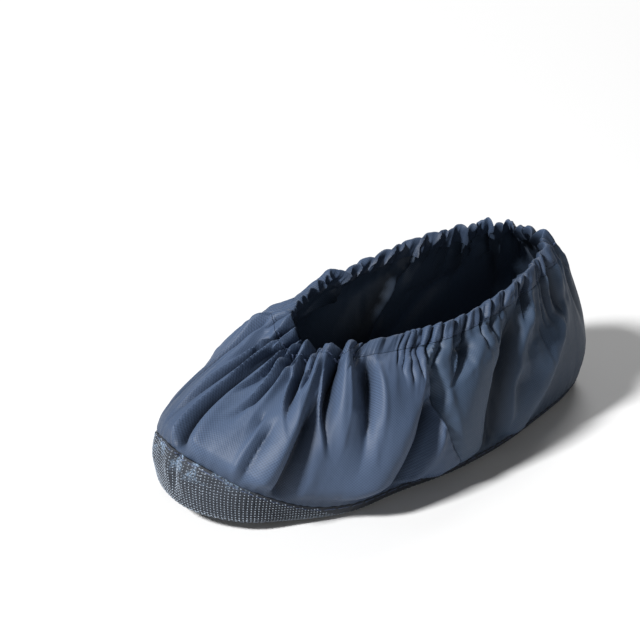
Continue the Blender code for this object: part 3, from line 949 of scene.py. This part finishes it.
# %% [markdown]
# ## Stitches
#
# The seams are sewn with a lockstitch: short lengths of thread with tiny gaps between them.
# One stitch is a stretched sphere, and a row of them is set along each seam.

# %% Stitch rows
STITCH_GAP = 0.0012
STITCH_FLATNESS = 0.7
BELOW_SEAM = 0.0016
ABOVE_SEAM = 0.0014
SOLE_STITCH = (0.0032, 0.0008)
CASING_STITCH = (0.0024, 0.0004)


def stitch(length, thread):
    """One stitch: a small sphere stretched along X."""
    shape = bmesh.new()
    bmesh.ops.create_uvsphere(shape, u_segments=8, v_segments=6, radius=0.5)
    turn = Matrix.Rotation(np.pi / 2, 4, "Y")
    scale = Matrix.Diagonal((length, thread, STITCH_FLATNESS * thread, 1.0))
    bmesh.ops.transform(shape, verts=shape.verts[:], matrix=scale @ turn)
    return shape


def stitch_row(name, line, size):
    """Stitches of a length and thickness along a line of points and normals, evenly spaced."""
    points, normals = line
    length, thread = size
    runs = np.linalg.norm(np.diff(points, axis=0), axis=1)
    along = np.concatenate([[0.0], np.cumsum(runs)])
    count = int(along[-1] / (length + STITCH_GAP))
    ends = np.linspace(0.0, along[-1], count + 1)
    at = (ends[:-1] + ends[1:]) / 2
    middle, up, before, after = (
        np.stack([np.interp(at + far, along, part[:, axis]) for axis in range(3)], axis=-1)
        for part, far in ((points, 0.0), (normals, 0.0), (points, -length / 2), (points, length / 2))
    )
    up /= np.linalg.norm(up, axis=-1, keepdims=True)
    return scattered(name, stitch(length, thread), middle, turns_for(up, after - before))


# %% Lines of thread
def sole_seam_line():
    """Along the sole's rim, just below the seam."""
    around = np.linspace(0.0, 1.0, 2401)
    below = 1.0 - np.minimum(BELOW_SEAM, 0.4 * rim_length(around)) / rim_length(around)
    height = below * rim_length(around) / section_length(around)
    normal = wall_normal(around, height)
    return wall_point(around, height) + normal * rim_relief(around, below)[:, None], normal


def casing_seam_line():
    """Along the casing's lower edge."""
    around = np.linspace(0.0, 1.0, 4801)
    height = 1.0 - (CASING_HEIGHT - ABOVE_SEAM) / section_length(around)
    normal = wall_normal(around, height)
    tuck = CASING_TUCK * TUCK_DEPTH * np.exp(-((ABOVE_SEAM / TUCK_REACH) ** 2))
    return cloth_point(around, height) - normal * tuck, normal


sole_stitches = stitch_row("sole_stitches", sole_seam_line(), SOLE_STITCH)
casing_stitches = stitch_row("casing_stitches", casing_seam_line(), CASING_STITCH)

# %% [markdown]
# ## Cloth materials
#
# Navy nylon has a soft satin gloss, a fine weave, and slightly uneven colour where it has
# rubbed. The weave is drawn on the flat cloth's own coordinates, the creases on the object's.
# Valleys are tinted darker by their relief, as painted shade, because little light is thrown between
# the folds, and ridges a little lighter, as painted light.

# %% Material tools
def new_material(name, colour, roughness):
    """A material with a Principled BSDF, and its node tree."""
    material = bpy.data.materials.new(name)
    material.use_nodes = True
    shader = material.node_tree.nodes["Principled BSDF"]
    shader.inputs["Base Color"].default_value = (*colour, 1.0)
    shader.inputs["Roughness"].default_value = roughness
    return material, material.node_tree, shader


def add_node(tree, kind, values=(), **settings):
    """A node with its settings and the values of its named inputs."""
    node = tree.nodes.new(kind)
    for key, value in settings.items():
        setattr(node, key, value)
    for key, value in values:
        node.inputs[key].default_value = value
    return node


def calculated(tree, operation, first, second=None):
    """A Math node on two sockets or numbers."""
    node = tree.nodes.new("ShaderNodeMath")
    node.operation = operation
    for socket, value in zip(node.inputs, (first, second)):
        if isinstance(value, bpy.types.NodeSocket):
            tree.links.new(value, socket)
        elif value is not None:
            socket.default_value = value
    return node.outputs["Value"]


def ranged(tree, socket, low, high, first=0.0, last=1.0):
    """The socket's value, from first where it is low to last where it is high."""
    node = tree.nodes.new("ShaderNodeMapRange")
    for name, value in (("From Min", low), ("From Max", high), ("To Min", first), ("To Max", last)):
        node.inputs[name].default_value = value
    tree.links.new(socket, node.inputs["Value"])
    return node.outputs["Result"]


# %% Noise, blends and bumps
def noise(tree, scale, detail, roughness=0.5):
    """Noise on the object's coordinates."""
    place = add_node(tree, "ShaderNodeTexCoord")
    values = [("Scale", scale), ("Detail", detail), ("Roughness", roughness)]
    texture = add_node(tree, "ShaderNodeTexNoise", values)
    tree.links.new(place.outputs["Object"], texture.inputs["Vector"])
    return texture.outputs["Fac"]


def blended(tree, share, low, high):
    """Colour at the socket's share of the way from low to high."""
    tint = add_node(tree, "ShaderNodeMix", data_type="RGBA")
    tint.inputs["A"].default_value = (*low, 1.0)
    tint.inputs["B"].default_value = (*high, 1.0)
    tree.links.new(share, tint.inputs["Factor"])
    return tint.outputs["Result"]


def bumped(tree, height, strength, distance):
    """A Bump node on the height."""
    bump = add_node(tree, "ShaderNodeBump", [("Strength", strength), ("Distance", distance)])
    tree.links.new(height, bump.inputs["Height"])
    return bump


def flat_place(tree):
    """The flat cloth's two coordinates, in metres."""
    flat = add_node(tree, "ShaderNodeUVMap", uv_map="cloth")
    split = add_node(tree, "ShaderNodeSeparateXYZ")
    tree.links.new(flat.outputs["UV"], split.inputs["Vector"])
    return split.outputs["X"], split.outputs["Y"]


def weave_height(tree, pitch):
    """Over-and-under height of a plain weave on the cloth's flat coordinates, 0 to 1."""
    turns = [calculated(tree, "MULTIPLY", way, 2 * np.pi / pitch) for way in flat_place(tree)]
    product = calculated(tree, "MULTIPLY", *(calculated(tree, "SINE", turn) for turn in turns))
    return calculated(tree, "MULTIPLY_ADD", product, 0.5)


# %% [markdown]
# ## Nylon
#
# One function makes the three tones of the upper; the heel's darker tone is painted shade, for the
# heel side that turns away from the key light. The weave is mixed into colour and bump, because
# threads this fine would take millions of faces.

# %% Nylon
WEAVE_PITCH = 0.0015
SHADED_RELIEF = (-0.0040, 0.0035)
SHADE_RANGE = (0.42, 1.15)
WEAVE_TINT = 1.1
NYLON_ROUGHNESS = 0.54


def nylon(name, colour, rubbed):
    """Thin woven nylon: satin, with a weave, fine creases and a little wear, with painted shade in
    the valleys and a little painted light on the ridges.
    """
    material, tree, shader = new_material(name, colour, NYLON_ROUGHNESS)
    tint = blended(tree, noise(tree, 22.0, 5.0, 0.6), colour, rubbed)
    weave_lift = weave_height(tree, WEAVE_PITCH)
    threads = calculated(tree, "SUBTRACT", weave_lift, 0.5)
    seen = calculated(tree, "MULTIPLY", threads, noise(tree, 30.0, 2.0))
    lift = calculated(tree, "ADD", calculated(tree, "MULTIPLY", seen, WEAVE_TINT), 1.0)
    # Painted shade: the relief darkens the colour in the valleys and lightens it a little on the
    # ridges.
    depth = add_node(tree, "ShaderNodeAttribute", attribute_name="relief")
    painted_fold_shade = ranged(tree, depth.outputs["Fac"], *SHADED_RELIEF, *SHADE_RANGE)
    lift = calculated(tree, "MULTIPLY", lift, painted_fold_shade)
    woven = add_node(tree, "ShaderNodeVectorMath", operation="SCALE")
    tree.links.new(tint, woven.inputs["Vector"])
    tree.links.new(lift, woven.inputs["Scale"])
    tree.links.new(woven.outputs["Vector"], shader.inputs["Base Color"])
    crumple = bumped(tree, noise(tree, 160.0, 4.0, 0.55), 0.35, 0.0010)
    weave = bumped(tree, weave_lift, 0.30, 0.0002)
    tree.links.new(crumple.outputs["Normal"], weave.inputs["Normal"])
    tree.links.new(weave.outputs["Normal"], shader.inputs["Normal"])
    shader.inputs["Sheen Weight"].default_value = 0.04
    shader.inputs["Specular IOR Level"].default_value = 0.22
    shader.inputs["Sheen Roughness"].default_value = 0.45
    shader.inputs["Sheen Tint"].default_value = (0.55, 0.66, 0.85, 1.0)
    return material


front_nylon = nylon("navy_nylon_front", (0.031, 0.048, 0.086), (0.042, 0.063, 0.106))
# Darker colours for the heel: painted shade of the heel side, which turns away from the key light.
heel_nylon_painted_shade = nylon("navy_nylon_heel_painted_shade", (0.026, 0.042, 0.072), (0.035, 0.055, 0.090))
casing_nylon = nylon("navy_nylon_casing", (0.028, 0.044, 0.080), (0.038, 0.058, 0.098))

# %% [markdown]
# ## Sole cloth, rubber and thread
#
# The sole's cloth is rougher and nearly black, and pale patches show below the toe seam: partly worn
# fibres, partly painted sheen. Noise through a narrow range gives such patches without an image
# texture.

# %% Sole cloth, rubber and thread
FRINGE_FROM = 0.026
FRINGE_TO = 0.036
SOLE_WEAVE_PITCH = 0.0012
SOLE_COLOUR = (0.012, 0.016, 0.024)
# Pale colour of the patches by the toe seam: partly worn fibres, partly painted sheen.
PALE_FIBRE_AND_SHEEN_COLOUR = (0.17, 0.25, 0.36)


def sole_fabric():
    """Heavier, duller cloth with a coarse weave, and pale patches by the toe seam: partly worn
    fibres, partly painted sheen.
    """
    material, tree, shader = new_material("sole_fabric", SOLE_COLOUR, 0.80)
    near_seam = ranged(tree, flat_place(tree)[1], FRINGE_FROM, FRINGE_TO)
    patch = ranged(tree, noise(tree, 85.0, 2.0), 0.50, 0.58)
    fibre = ranged(tree, noise(tree, 900.0, 2.0), 0.42, 0.60)
    share = calculated(tree, "MULTIPLY", calculated(tree, "MULTIPLY", near_seam, patch), fibre)
    tint = blended(tree, share, SOLE_COLOUR, PALE_FIBRE_AND_SHEEN_COLOUR)
    tree.links.new(tint, shader.inputs["Base Color"])
    weave = bumped(tree, weave_height(tree, SOLE_WEAVE_PITCH), 0.5, 0.0003)
    tree.links.new(weave.outputs["Normal"], shader.inputs["Normal"])
    return material


def speckled(name, colour, roughness, texture, low, high):
    """Plain stuff with darker and paler specks: grain and detail of its noise, two colours."""
    material, tree, shader = new_material(name, colour, roughness)
    tree.links.new(blended(tree, noise(tree, *texture), low, high), shader.inputs["Base Color"])
    return material


sole_stuff = sole_fabric()
rubber = speckled(
    "dot_rubber", (0.30, 0.33, 0.36), 0.55, (60.0, 3.0), (0.08, 0.10, 0.13), (0.36, 0.42, 0.50),
)
thread = speckled(
    "navy_thread", (0.030, 0.045, 0.090), 0.60, (1400.0, 2.0), (0.014, 0.022, 0.048),
    (0.060, 0.088, 0.165),
)

# %% [markdown]
# ## Onto the frame
#
# Each piece rides on the one body, stands for the node it dresses, and takes its own material.

# %% Ride, replace, finish
for item, stuff in (
    (front_cloth, front_nylon), (heel_cloth, heel_nylon_painted_shade), (casing, casing_nylon),
    (sole_cloth, sole_stuff), (tread_dots, rubber), (rim_dots, rubber),
    (sole_stitches, thread), (casing_stitches, thread),
):
    item.data.materials.append(stuff)
    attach(item, "root")
for item, node in (
    (front_cloth, "front_upper"), (heel_cloth, "heel_upper"),
    (casing, "elastic_collar"), (sole_cloth, "sole"),
):
    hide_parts(node)

# %% [markdown]
# ## Sheets of cloth
#
# Each piece was cut flat before it was sewn, and the cuts can't be seen. The cuts can't be
# seen, so they are estimates, near to what the folded and gathered pieces need.

# %% [markdown]
# ## Studio
#
# A pale floor, a strong light high in front of the toe, a weak one from the outer side, a
# soft one on the floor behind, and a camera that looks down at the outer side of the toe, as
# a shop photograph does.

# %% Floor and lights
FLOOR_SIZE = 12.0
WORLD_LIGHT = 0.10


def add_floor():
    """Pale floor under the dots of the tread."""
    shape = bmesh.new()
    bmesh.ops.create_grid(shape, x_segments=1, y_segments=1, size=FLOOR_SIZE / 2)
    bmesh.ops.translate(shape, verts=shape.verts[:], vec=(0.0, 0.0, -DOT_RISE))
    floor = finished("floor", shape)
    floor.data.materials.append(new_material("pale_floor", (0.64, 0.64, 0.64), 0.8)[0])


def add_light(name, place, size, power, aim=(0.0, 0.0, 0.05)):
    """A square area light that faces the aim."""
    lamp = bpy.data.lights.new(name, "AREA")
    lamp.shape = "SQUARE"
    lamp.size = size
    lamp.energy = power
    item = bpy.data.objects.new(name, lamp)
    item.location = place
    item.rotation_euler = (Vector(aim) - Vector(place)).to_track_quat("-Z", "Y").to_euler()
    bpy.context.collection.objects.link(item)


add_floor()
add_light("key", (-0.30, -3.02, 2.80), 0.60, 335.0)
add_light("fill", (1.9, -1.0, 0.9), 0.8, 7.0)
add_light("back", (-1.6, 2.2, 2.2), 1.5, 60.0, (-1.5, 1.6, 0.0))
world = bpy.data.worlds.new("studio")
world.use_nodes = True
sky = world.node_tree.nodes["Background"]
sky.inputs["Color"].default_value = (1.0, 1.0, 1.0, 1.0)
sky.inputs["Strength"].default_value = WORLD_LIGHT
bpy.context.scene.world = world
bpy.context.scene.view_settings.view_transform = "Standard"

# %% [markdown]
# ## Camera
#
# It stands as in a shop photograph, low over the outer side of the toe. The aim is off the
# middle, so that the overshoe sits in the picture as it does there.

# %% Camera
CAMERA_TURN = np.radians(48.60)
CAMERA_RISE = np.radians(24.82)
CAMERA_DISTANCE = 1.2174
CAMERA_LENS = 105.72
CAMERA_AIM = np.array((-0.0877, 0.0253, 0.0400)) + PLACE

back = np.array((
    np.sin(CAMERA_TURN) * np.cos(CAMERA_RISE),
    -np.cos(CAMERA_TURN) * np.cos(CAMERA_RISE),
    np.sin(CAMERA_RISE),
))
lens = bpy.data.cameras.new("camera")
lens.lens = CAMERA_LENS
lens.sensor_width = 36.0
camera = bpy.data.objects.new("camera", lens)
camera.location = CAMERA_AIM + back * CAMERA_DISTANCE
camera.rotation_euler = Vector(back).to_track_quat("Z", "Y").to_euler()
bpy.context.collection.objects.link(camera)
bpy.context.scene.camera = camera
